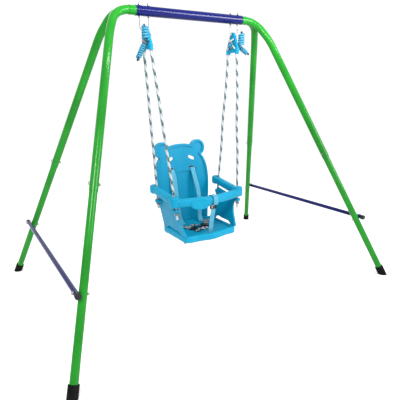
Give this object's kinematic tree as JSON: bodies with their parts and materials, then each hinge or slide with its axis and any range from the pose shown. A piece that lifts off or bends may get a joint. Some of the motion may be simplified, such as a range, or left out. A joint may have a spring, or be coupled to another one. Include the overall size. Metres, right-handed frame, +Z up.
{
  "type": "baby swing",
  "caption": "Toddler bucket swing with bear-eared backrest and guard rail, hung on ropes from a tubular A-frame stand.",
  "frame": {"origin": "on the floor under the middle of the crossbar", "axes": "+X along the crossbar towards the child's left-hand end seen from behind, -Y the way the child faces, +Z up"},
  "size_m": [1.6152, 1.1144, 1.231],
  "materials": {
    "navy_paint": "gloss",
    "green_paint": "gloss",
    "black_rubber": "matte",
    "black_plastic": "satin",
    "zinc_steel": "satin",
    "dark_steel": "satin",
    "rope": "matte",
    "blue_cord": "satin",
    "hanger_blue": "satin",
    "blue_webbing": "matte",
    "striped_webbing": "matte",
    "seat_blue": "satin"
  },
  "bodies": {
    "frame": {"brace_bolts": "zinc_steel", "brace_caps": "black_plastic", "brace_nuts": "zinc_steel", "corner_stub_left": "green_paint", "corner_stub_right": "green_paint", "crossbar": "navy_paint", "foot_cap_front_left": "black_rubber", "foot_cap_front_right": "black_rubber", "foot_cap_rear_left": "black_rubber", "foot_cap_rear_right": "black_rubber", "joint_bolts": "zinc_steel", "joint_nuts": "zinc_steel", "lower_leg_front_left": "green_paint", "lower_leg_front_right": "green_paint", "lower_leg_rear_left": "green_paint", "lower_leg_rear_right": "green_paint", "side_brace_left": "navy_paint", "side_brace_right": "navy_paint", "u_bolt_left": "zinc_steel", "u_bolt_nuts": "zinc_steel", "u_bolt_right": "zinc_steel", "upper_leg_front_left": "green_paint", "upper_leg_front_right": "green_paint", "upper_leg_rear_left": "green_paint", "upper_leg_rear_right": "green_paint"},
    "swing": {"backrest": "seat_blue", "buckle_plug": "black_plastic", "buckle_socket": "black_plastic", "crotch_anchor": "black_plastic", "crotch_strap": "blue_webbing", "hanger_knobs": "dark_steel", "hanger_plate_left": "hanger_blue", "hanger_plate_right": "hanger_blue", "lap_strap_left": "striped_webbing", "lap_strap_right": "striped_webbing", "rope_front_left": "rope", "rope_front_right": "rope", "rope_knots": "rope", "rope_rear_left": "rope", "rope_rear_right": "rope", "seat_pan": "seat_blue", "seat_screws": "zinc_steel", "shoulder_strap_left": "blue_webbing", "shoulder_strap_right": "blue_webbing", "side_panel_left": "seat_blue", "side_panel_right": "seat_blue", "strap_keepers": "black_plastic", "tail_coil_left": "blue_cord", "tail_coil_right": "blue_cord", "upper_coil_left": "blue_cord", "upper_coil_right": "blue_cord"},
    "rail": {"crotch_loop": "blue_webbing", "crotch_slider": "black_plastic", "guard_rail": "seat_blue"}
  },
  "joints": [
    {"name": "swing_hinge", "type": "hinge", "parent": "frame", "child": "swing", "pos_m": [0, 0, 1.132], "axis": [1, 0, 0], "range_deg": [-45, 45]},
    {"name": "rail_slide", "type": "slide", "parent": "swing", "child": "rail", "axis": [0, 0, 1], "range_m": [0, 0.08], "deforming": ["rope_front_left", "rope_front_right", "rope_rear_left", "rope_rear_right", "crotch_strap"]}
  ]
}
